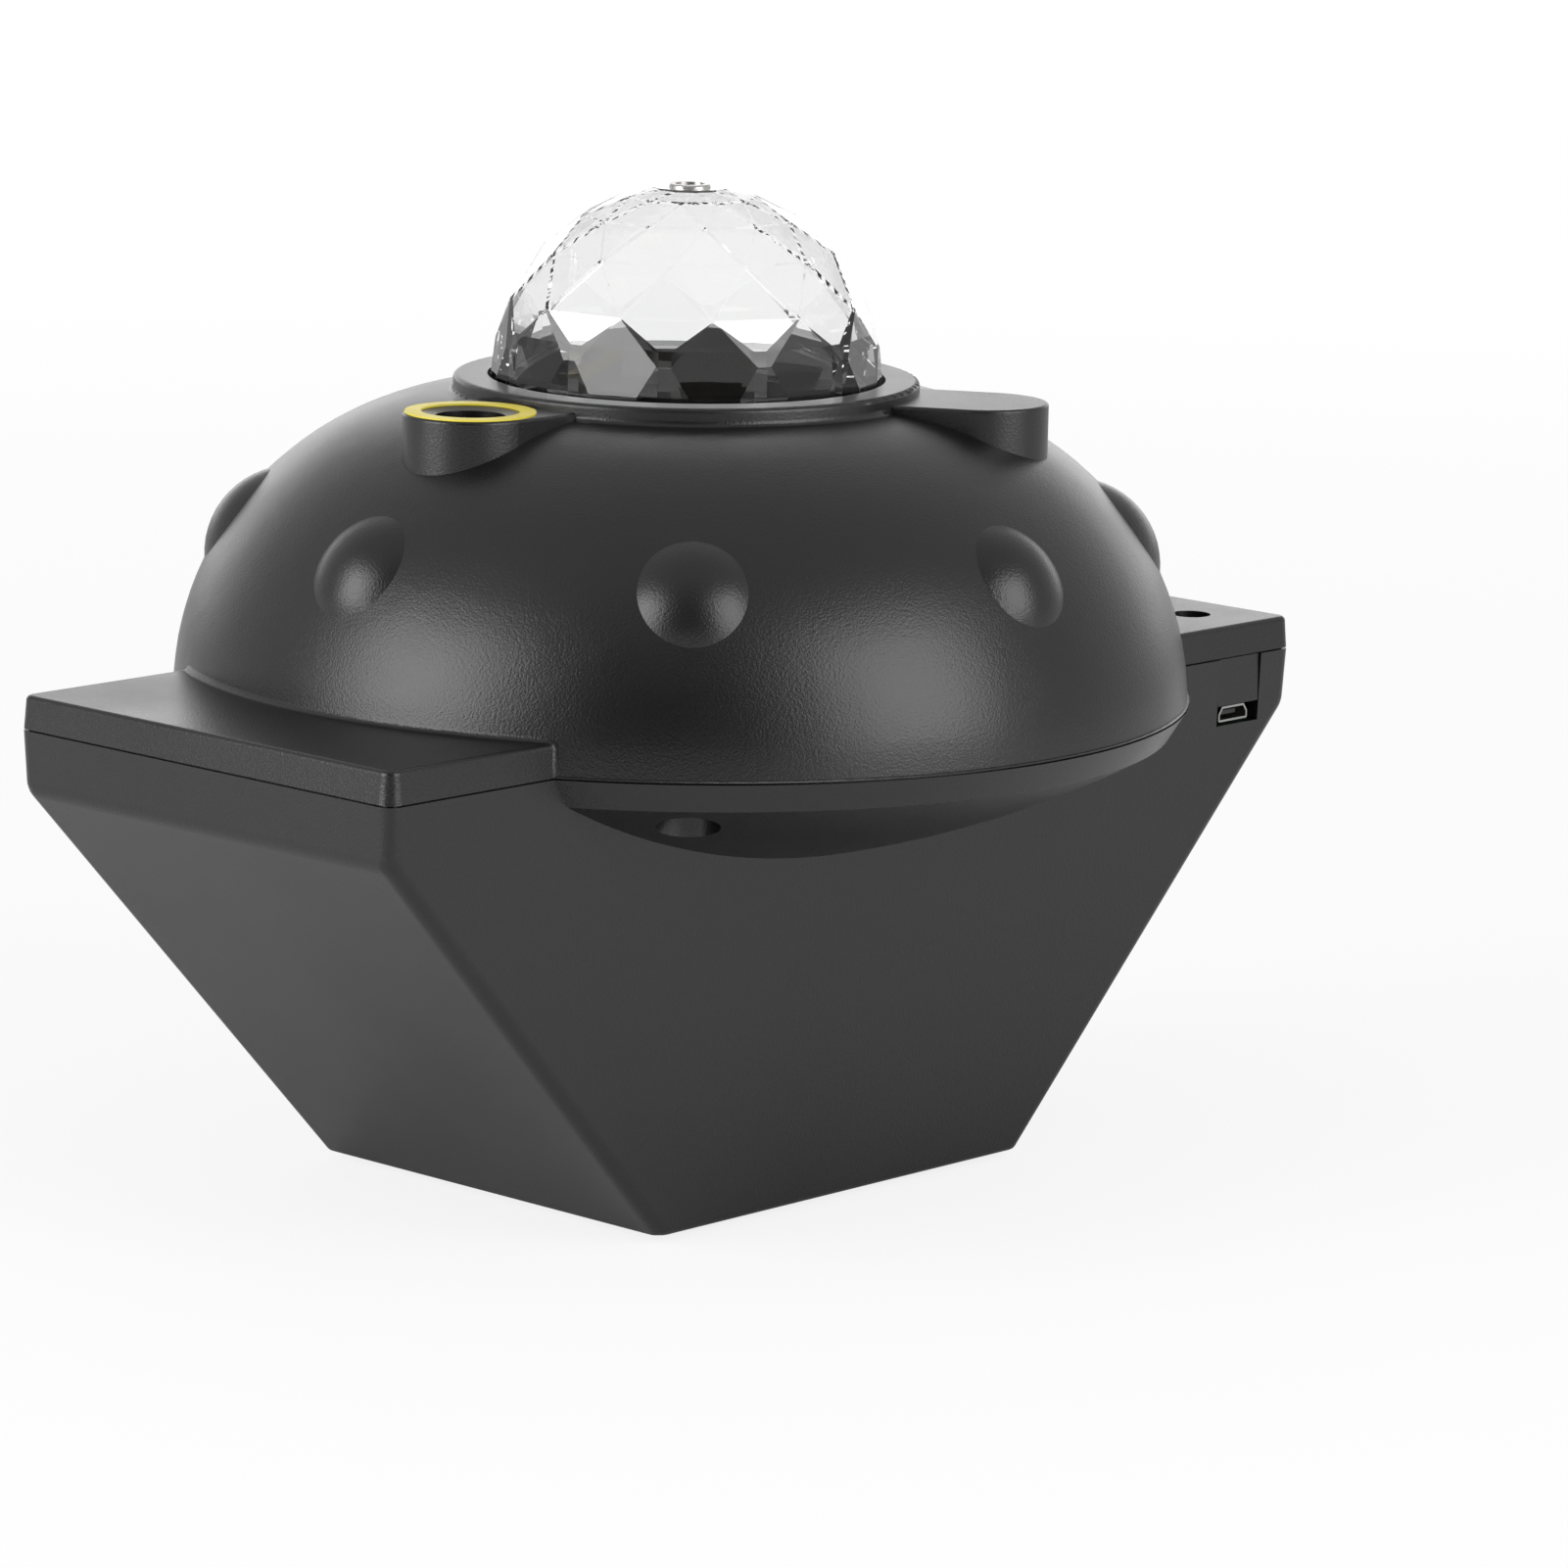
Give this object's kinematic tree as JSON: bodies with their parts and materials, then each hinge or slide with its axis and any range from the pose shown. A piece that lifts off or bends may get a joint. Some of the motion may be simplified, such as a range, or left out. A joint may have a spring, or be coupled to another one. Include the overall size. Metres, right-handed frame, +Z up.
{
  "type": "star projector lamp",
  "caption": "Saucer-shaped table projector lamp on a slanted tub, with a turning clear faceted dome, a laser aperture, recessed buttons and a micro-USB inlet.",
  "frame": {"origin": "on the table, under the middle of the hull", "axes": "+Z up along the dome's axis, +X along the long side towards the buttons, -Y to the port side"},
  "size_m": [0.2108, 0.165, 0.1605],
  "materials": {
    "black_plastic": "satin moulded grain",
    "button_plastic": "satin",
    "clear_plastic": "clear, flat facets outside and inside",
    "yellow_trim": "printed plain yellow",
    "lens_glass": "coated",
    "dark_window": "dark tinted",
    "brass": "turned",
    "steel": "plated",
    "port_steel": "folded sheet",
    "motor_can": "drawn sheet",
    "dark_board": "black solder mask",
    "light_chip": "phosphor",
    "green_board": "green solder mask",
    "component_black": "moulded",
    "component_metal": "drawn can",
    "speaker_steel": "black paint",
    "speaker_paper": "pressed paper",
    "magnet": "ferrite",
    "rubber": "matt"
  },
  "bodies": {
    "case": {"upper_shell": "black_plastic", "lower_hull": "black_plastic", "light_plate": "black_plastic", "aperture_ring": "yellow_trim", "laser_lens": "lens_glass", "ir_window": "dark_window", "laser_barrel": "brass", "motor_screws": "steel", "plate_screws": "steel", "control_screws": "steel", "board_screws": "steel", "speaker_screws": "steel", "case_screws": "steel", "usb_shell": "port_steel", "gear_motor": "motor_can", "led_board": "dark_board", "led_emitters": "light_chip", "control_board": "green_board", "main_board": "green_board", "button_switches": "component_black", "ir_receiver": "component_black", "main_chips": "component_black", "usb_tongue": "component_black", "microphone": "component_metal", "capacitors": "component_metal", "speaker_frame": "speaker_steel", "speaker_cone": "speaker_paper", "speaker_magnet": "magnet", "foot_1": "rubber", "foot_2": "rubber", "foot_3": "rubber", "foot_4": "rubber"},
    "crystal": {"crystal_dome": "clear_plastic", "apex_rivet": "steel", "carrier": "black_plastic", "motor_shaft": "steel"},
    "button_1_cap": {"button_1": "button_plastic"},
    "button_2_cap": {"button_2": "button_plastic"},
    "button_3_cap": {"button_3": "button_plastic"}
  },
  "joints": [
    {"name": "crystal_spin", "type": "hinge", "parent": "case", "child": "crystal", "pos_m": [0, 0, 0.13], "axis": [0, 0, 1], "continuous": true},
    {"name": "button_1_press", "type": "slide", "parent": "case", "child": "button_1_cap", "axis": [0, 0, -1], "range_m": [0, 0.0006], "stiffness_N_per_m": 2000, "springref_m": -0.0005},
    {"name": "button_2_press", "type": "slide", "parent": "case", "child": "button_2_cap", "axis": [0, 0, -1], "range_m": [0, 0.0006], "stiffness_N_per_m": 2000, "springref_m": -0.0005},
    {"name": "button_3_press", "type": "slide", "parent": "case", "child": "button_3_cap", "axis": [0, 0, -1], "range_m": [0, 0.0006], "stiffness_N_per_m": 2000, "springref_m": -0.0005}
  ]
}
